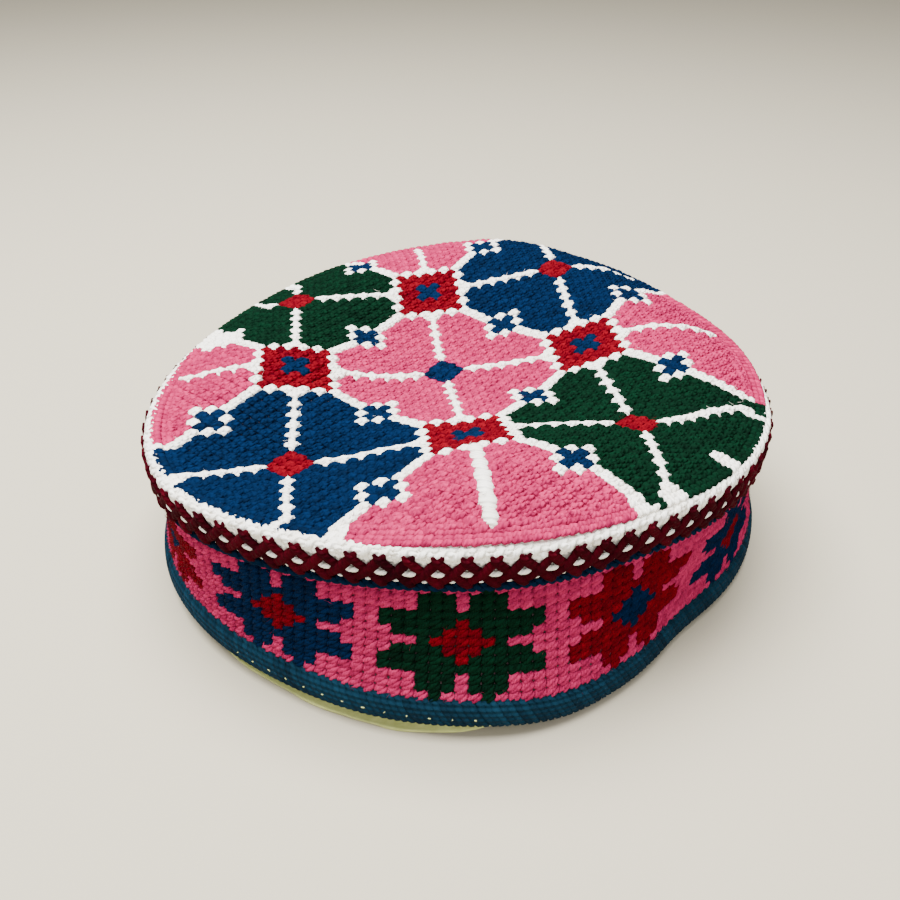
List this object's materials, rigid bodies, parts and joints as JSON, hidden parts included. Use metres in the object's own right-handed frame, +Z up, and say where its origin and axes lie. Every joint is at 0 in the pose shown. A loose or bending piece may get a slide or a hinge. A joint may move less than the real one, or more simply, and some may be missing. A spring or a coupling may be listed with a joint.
{
  "type": "hunza cap",
  "caption": "Round low-crowned Hunza cap with a puffed cross-stitched crown, braided rim, herringbone border, floral side band, bound hem and cotton lining.",
  "frame": {"origin": "middle of the cap on the surface that it rests on, under the centre of its outline", "axes": "+Z up out of the crown, -Y towards the side that the picture shows in front, +X to the picture's right"},
  "size_m": [0.1938, 0.2018, 0.065],
  "materials": {
    "crown_stitch": "soft woollen cross stitch on canvas",
    "side_stitch": "soft woollen cross stitch on canvas",
    "white_braid": "white wool chain stitch",
    "maroon_zigzag": "maroon and white herringbone stitch",
    "navy_cord": "navy wool cord",
    "teal_binding": "teal wool chain-stitch binding",
    "cotton_lining": "pale yellow-green plain cotton"
  },
  "bodies": {
    "root": {"crown_panel": "crown_stitch", "rim_braid": "white_braid", "zigzag_band": "maroon_zigzag", "band_cord": "navy_cord", "side_band": "side_stitch", "hem_binding": "teal_binding", "lining_crown": "cotton_lining", "lining_wall": "cotton_lining"}
  },
  "joints": []
}
